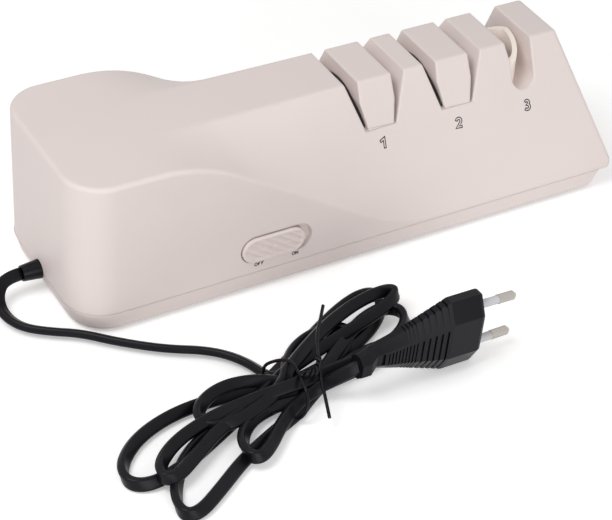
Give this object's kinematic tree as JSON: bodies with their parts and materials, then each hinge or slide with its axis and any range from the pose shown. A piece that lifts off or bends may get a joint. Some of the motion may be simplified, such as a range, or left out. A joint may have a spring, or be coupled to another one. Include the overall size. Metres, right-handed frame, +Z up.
{
  "type": "electric knife sharpener",
  "caption": "Electric knife sharpener: pale moulded housing narrowing from a motor block to a slotted ridge, side slide switch, black flat cord in a tied hank with a flat plug.",
  "frame": {"origin": "centre of the housing's footprint, under the feet", "axes": "+X along the ridge towards the polishing slot, -Y towards the side with the switch, +Z up"},
  "size_m": [0.2851, 0.1934, 0.0726],
  "materials": {
    "shell": "pale pinkish grey moulded plastic, satin gloss",
    "trim": "pale moulded plastic guide blocks",
    "hood": "cream moulded plastic",
    "switch": "pale plastic slider",
    "black_plastic": "dark moulded plastic",
    "cord": "black flexible PVC",
    "rubber": "dark rubber",
    "steel": "bright steel",
    "laminations": "lacquered steel laminations",
    "zinc": "die-cast metal",
    "copper": "enamelled copper wire under tape",
    "bronze": "sintered bronze",
    "nickel": "nickel-plated brass",
    "grit": "abrasive-coated steel",
    "sleeve": "pale grey insulating sleeves",
    "inner_plastic": "pale inner plastic"
  },
  "bodies": {
    "housing": {"upper_housing": "shell", "base_cover": "shell", "rubber_feet": "rubber", "housing_screws": "steel", "guide_block_1": "trim", "guide_block_2": "trim", "stage_3_hood": "hood", "slide_switch": "black_plastic", "switch_screws": "steel", "stator_core": "laminations", "coil_bobbin": "inner_plastic", "coil_winding": "copper", "bearing_bracket_left": "zinc", "bearing_bracket_right": "zinc", "motor_bolts": "steel", "motor_mount_screws": "steel", "motor_bushes": "bronze", "spindle_support_1": "inner_plastic", "spindle_support_2": "inner_plastic", "spindle_support_3": "inner_plastic", "spindle_bushes": "bronze", "bracket_screws": "steel", "strain_relief": "cord", "cord_clamp": "inner_plastic", "cord_clamp_screws": "steel", "cord_inner": "cord", "terminal_block": "inner_plastic", "plug_body": "cord", "plug_pins": "nickel", "plug_sleeves": "sleeve", "twist_tie": "cord", "cord_hank": "cord", "cord_lead": "cord", "cord_tail": "cord"},
    "spindle": {"rotor_core": "laminations", "motor_shaft": "steel", "cooling_fan": "inner_plastic", "shaft_coupling": "rubber", "disc_spindle": "steel", "drive_pins": "steel", "retaining_rings": "steel", "polishing_wheel": "grit", "coarse_disc_spring": "steel", "fine_disc_spring": "steel"},
    "switch": {"switch_slider": "switch", "switch_actuator": "black_plastic"},
    "coarse_disc_left": {"coarse_disc_left": "grit"},
    "coarse_disc_right": {"coarse_disc_right": "grit"},
    "fine_disc_left": {"fine_disc_left": "grit"},
    "fine_disc_right": {"fine_disc_right": "grit"}
  },
  "joints": [
    {"name": "spindle_spin", "type": "hinge", "parent": "housing", "child": "spindle", "pos_m": [0, 0, 0.044], "axis": [1, 0, 0], "continuous": true},
    {"name": "switch_slide", "type": "slide", "parent": "housing", "child": "switch", "axis": [1, 0, 0], "range_m": [0, 0.0032]},
    {"name": "coarse_disc_left_slide", "type": "slide", "parent": "spindle", "child": "coarse_disc_left", "axis": [1, 0, 0], "range_m": [0, 0.0014], "stiffness_N_per_m": 800, "springref_m": -0.0015},
    {"name": "coarse_disc_right_slide", "type": "slide", "parent": "spindle", "child": "coarse_disc_right", "axis": [-1, 0, 0], "range_m": [0, 0.0014], "stiffness_N_per_m": 800, "springref_m": -0.0015},
    {"name": "fine_disc_left_slide", "type": "slide", "parent": "spindle", "child": "fine_disc_left", "axis": [1, 0, 0], "range_m": [0, 0.0014], "stiffness_N_per_m": 800, "springref_m": -0.0015},
    {"name": "fine_disc_right_slide", "type": "slide", "parent": "spindle", "child": "fine_disc_right", "axis": [-1, 0, 0], "range_m": [0, 0.0014], "stiffness_N_per_m": 800, "springref_m": -0.0015}
  ]
}
